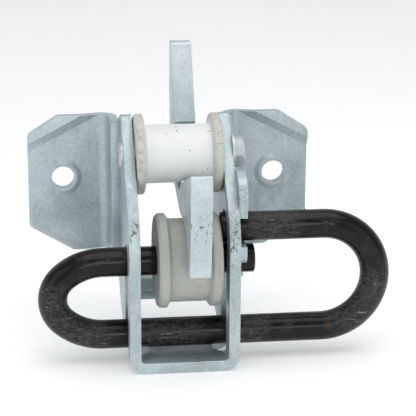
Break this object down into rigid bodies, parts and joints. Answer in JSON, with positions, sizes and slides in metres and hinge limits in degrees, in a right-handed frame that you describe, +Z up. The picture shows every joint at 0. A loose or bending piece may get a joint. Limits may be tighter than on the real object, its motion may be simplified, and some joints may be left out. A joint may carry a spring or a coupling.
{
  "type": "roller gate latch",
  "caption": "Heavy gate latch: folded steel guard frame with flanged rollers, a swinging claw, a sliding round-bar pull loop and two mounting plates.",
  "frame": {"origin": "midway between the two mounting holes, on the face that bears on the post", "axes": "+Y into the post, +X along the line of the mounting holes towards the large loop, +Z up"},
  "size_m": [0.1649, 0.0907, 0.14],
  "materials": {
    "zinc_plate": "bright zinc plating over rolled plate, paler on the sheared edges",
    "zinc_claw": "bright zinc plating over flame-cut plate",
    "zinc_hardware": "bright zinc plated turned steel",
    "white_nylon": "turned white nylon, faintly stained on the flanges",
    "natural_nylon": "moulded natural nylon, slightly translucent",
    "black_bar": "black oxide round bar with grey scuffs",
    "bearing_bronze": "plain bronze bush"
  },
  "bodies": {
    "frame": {"guard_frame": "zinc_plate", "mount_plate_left": "zinc_plate", "mount_plate_right": "zinc_plate", "upper_axle": "zinc_hardware", "axle_washer": "zinc_hardware", "axle_nut": "zinc_hardware", "claw_pivot_pin": "zinc_hardware", "pivot_sleeve_left": "zinc_hardware", "pivot_sleeve_right": "zinc_hardware", "cross_stay": "zinc_plate"},
    "upper_roller": {"upper_roller": "white_nylon", "upper_roller_bush": "zinc_hardware"},
    "lower_roller": {"lower_roller": "natural_nylon"},
    "loop": {"pull_loop": "black_bar"},
    "claw": {"claw_plate": "zinc_claw", "claw_bush": "bearing_bronze"}
  },
  "joints": [
    {"name": "upper_roller_spin", "type": "hinge", "parent": "frame", "child": "upper_roller", "pos_m": [0, -0.0393, 0.0192], "axis": [1, 0, 0], "continuous": true},
    {"name": "lower_roller_spin", "type": "hinge", "parent": "frame", "child": "lower_roller", "pos_m": [0, -0.056, -0.0267], "axis": [1, 0, 0], "continuous": true},
    {"name": "loop_slide", "type": "slide", "parent": "frame", "child": "loop", "axis": [1, 0, 0], "range_m": [0, 0.008]},
    {"name": "claw_swing", "type": "hinge", "parent": "frame", "child": "claw", "pos_m": [0, -0.014, 0.0105], "axis": [-1, 0, 0], "range_deg": [0, 3]}
  ]
}
